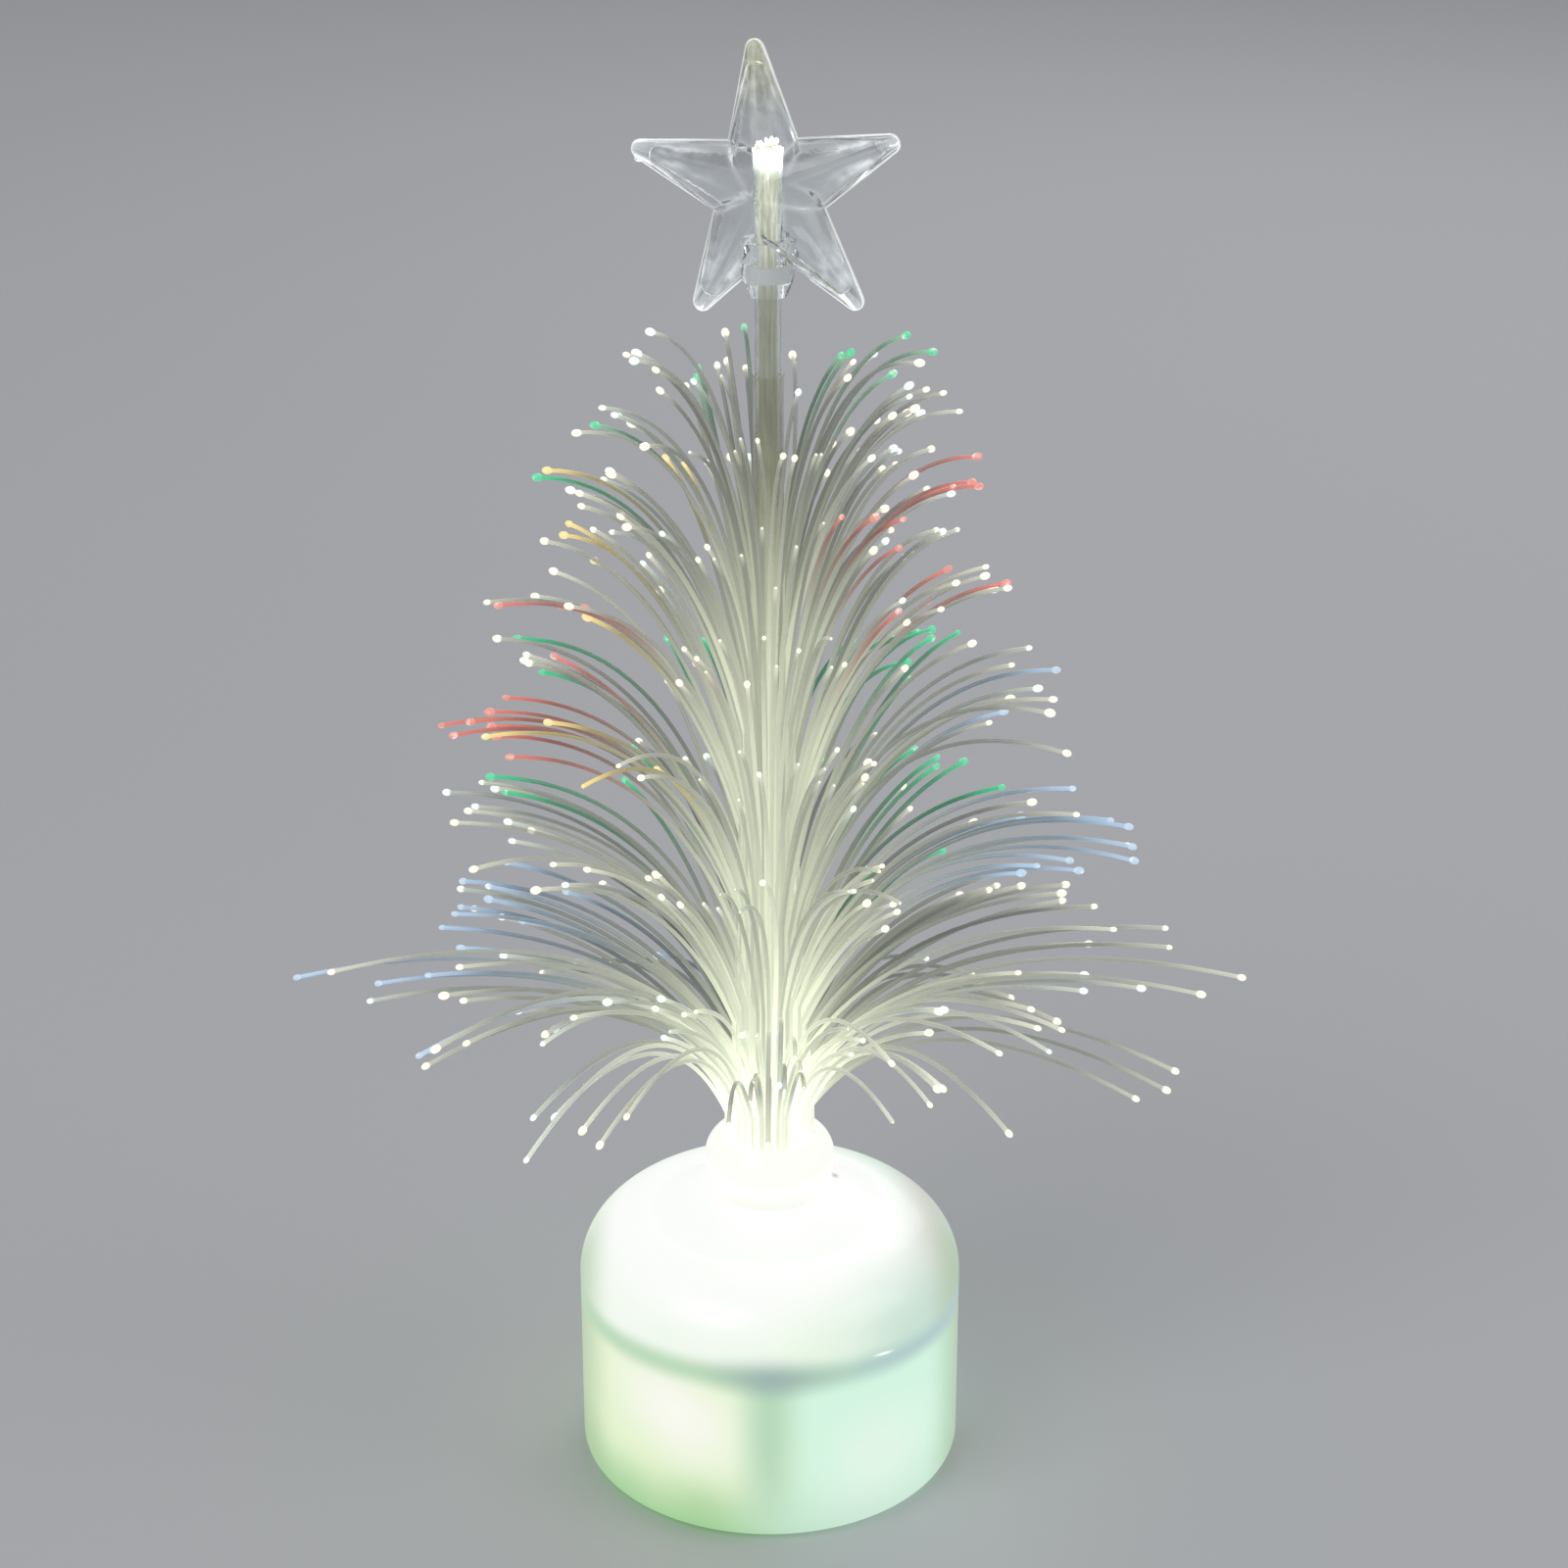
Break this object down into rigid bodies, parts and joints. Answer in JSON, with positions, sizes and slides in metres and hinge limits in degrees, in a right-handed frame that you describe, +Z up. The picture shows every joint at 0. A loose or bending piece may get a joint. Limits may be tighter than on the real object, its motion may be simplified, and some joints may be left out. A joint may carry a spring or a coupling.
{
  "type": "light-up christmas tree",
  "caption": "Small tabletop tree of light-guiding fibre tiers on a lit round base, with a clear star on top, a slide switch and a battery door below",
  "frame": {"origin": "middle of the base's underside, on the surface it stands on", "axes": "+Z up along the stem, -Y towards the front, and the star's face is turned 20 degrees from it"},
  "size_m": [0.077, 0.05, 0.12],
  "materials": {
    "frosted_plastic": "milky translucent moulding, lit from inside",
    "white_plastic": "plain white moulding",
    "black_plastic": "plain black moulding",
    "screw_steel": "plain steel",
    "nickel_plate": "nickel plate",
    "board_green": "green circuit board",
    "lamp_resin": "clear lamp resin, lit",
    "black_wire": "black insulation",
    "red_wire": "red insulation",
    "clear_plastic": "clear moulded plastic",
    "lit_core": "light-guiding fibres, lit",
    "fibre_plastic": "clear light-guiding fibre with a lit end"
  },
  "bodies": {
    "base": {"base_housing": "frosted_plastic", "battery_holder": "black_plastic", "bottom_cover": "white_plastic", "bundle_ferrule": "white_plastic", "button_cell_1": "nickel_plate", "button_cell_2": "nickel_plate", "button_cell_3": "nickel_plate", "circuit_board": "board_green", "contact_backplate": "nickel_plate", "contact_plate": "nickel_plate", "contact_spring": "nickel_plate", "core_fibres": "lit_core", "cover_screw_1": "screw_steel", "cover_screw_2": "screw_steel", "fibre_tier_1": "fibre_plastic", "fibre_tier_2": "fibre_plastic", "fibre_tier_3": "fibre_plastic", "fibre_tier_4": "fibre_plastic", "fibre_tier_5": "fibre_plastic", "fibre_tier_6": "fibre_plastic", "fibre_tier_7": "fibre_plastic", "fibre_tier_8": "fibre_plastic", "lamp_lens": "lamp_resin", "lamp_pin_1": "nickel_plate", "lamp_pin_2": "nickel_plate", "lead_wire_1": "black_wire", "lead_wire_2": "red_wire", "lead_wire_3": "black_wire", "lead_wire_4": "red_wire", "neck_collar": "frosted_plastic", "stem_sleeve": "clear_plastic", "stem_tube": "clear_plastic", "switch_body": "black_plastic"},
    "door": {"battery_door": "white_plastic"},
    "knob": {"switch_knob": "black_plastic"},
    "star_seat": {"star_bushing": "white_plastic"},
    "star": {"star_front_shell": "clear_plastic", "star_rear_shell": "clear_plastic"}
  },
  "joints": [
    {"name": "door_hinge", "type": "hinge", "parent": "base", "child": "door", "pos_m": [0, 0.0072, 0.0011], "axis": [1, 0, 0], "range_deg": [0, 80]},
    {"name": "switch_slide", "type": "slide", "parent": "base", "child": "knob", "axis": [1, 0, 0], "range_m": [-0.002, 0]},
    {"name": "star_lift", "type": "slide", "parent": "base", "child": "star_seat", "axis": [0, 0, 1], "range_m": [0, 0.0125]},
    {"name": "star_turn", "type": "hinge", "parent": "star_seat", "child": "star", "pos_m": [0, 0, 0.1028], "axis": [0, 0, 1], "continuous": true}
  ]
}
